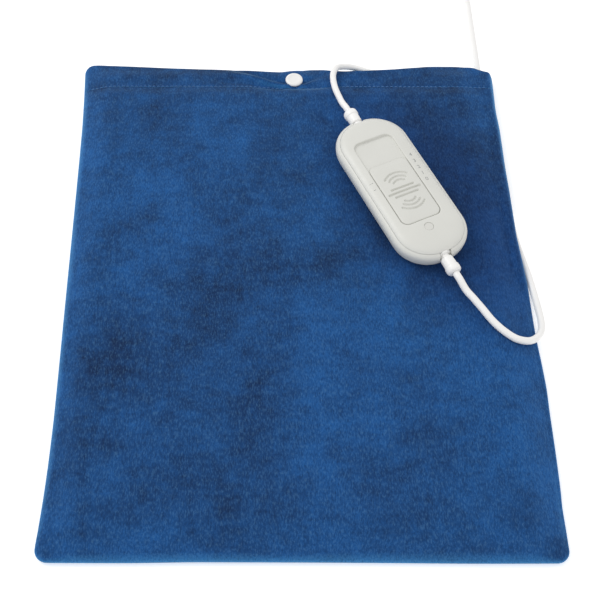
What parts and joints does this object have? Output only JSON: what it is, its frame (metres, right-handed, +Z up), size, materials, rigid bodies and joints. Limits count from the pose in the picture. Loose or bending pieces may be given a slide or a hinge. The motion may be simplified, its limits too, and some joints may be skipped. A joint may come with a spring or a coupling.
{
  "type": "electric heating pad with slide controller",
  "caption": "Flat plush-covered heating pad with a hem and snap at its mouth, a heated inner pad, and an oblong slide controller on its lead.",
  "frame": {"origin": "on the surface the pad lies on, under the middle of the cover", "axes": "+X across the pad, +Y along its length towards the mouth of the cover, +Z up"},
  "size_m": [0.331, 0.5878, 0.0318],
  "materials": {
    "plush_blue": "deep plush pile",
    "casing_cloth": "matt non-woven cloth",
    "wadding_white": "soft wadding",
    "felt": "felt",
    "heater_sleeve": "silicone sleeve",
    "housing_grey": "fine satin",
    "white_vinyl": "satin vinyl",
    "snap_white": "glossy",
    "board_green": "solder resist",
    "black_plastic": "satin",
    "yellow_film": "glossy",
    "ceramic_white": "matt",
    "lens_grey": "glossy",
    "copper": "bright",
    "nickel": "bright"
  },
  "bodies": {
    "pad": {"cover_front_panel": "plush_blue", "cover_back_panel": "plush_blue", "cover_front_hem": "plush_blue", "cover_back_hem": "plush_blue", "snap_stud": "snap_white", "snap_back_cap": "snap_white", "inner_casing_top": "casing_cloth", "inner_casing_bottom": "casing_cloth", "wadding_top": "wadding_white", "wadding_bottom": "wadding_white", "heater_carrier": "felt", "heating_wire": "heater_sleeve", "thermostat_1": "black_plastic", "thermostat_2": "black_plastic", "pad_gland": "white_vinyl", "controller_upper_shell": "housing_grey", "controller_lower_shell": "housing_grey", "circuit_board": "board_green", "indicator_lens": "lens_grey", "indicator_led": "lens_grey", "triac": "black_plastic", "fuse": "ceramic_white", "film_capacitor": "yellow_film", "power_resistor": "ceramic_white", "housing_screw_1": "nickel", "housing_screw_2": "nickel", "housing_screw_3": "nickel", "housing_screw_4": "nickel", "pad_lead_relief": "white_vinyl", "mains_lead_relief": "white_vinyl", "pad_wire_1": "white_vinyl", "pad_wire_2": "white_vinyl", "mains_live_wire": "copper", "mains_neutral_wire": "white_vinyl", "pad_lead": "white_vinyl", "mains_lead": "white_vinyl", "mains_lead_coil": "white_vinyl", "coil_tie": "black_plastic", "plug_lead": "white_vinyl", "plug_body": "white_vinyl", "plug_relief": "white_vinyl", "plug_pin_left": "nickel", "plug_pin_right": "nickel"},
    "slider": {"slider_knob": "housing_grey", "slider_carrier": "black_plastic", "wiper_contact": "copper"},
    "snap_front": {"snap_cap": "snap_white", "snap_socket": "snap_white"}
  },
  "joints": [
    {"name": "heat_slider", "type": "slide", "parent": "pad", "child": "slider", "axis": [-0.4139, 0.9103, 0], "range_m": [0, 0.022]},
    {"name": "mouth_snap", "type": "slide", "parent": "pad", "child": "snap_front", "axis": [0, 0, 1], "range_m": [0, 0.006], "deforming": ["cover_front_hem"]}
  ]
}
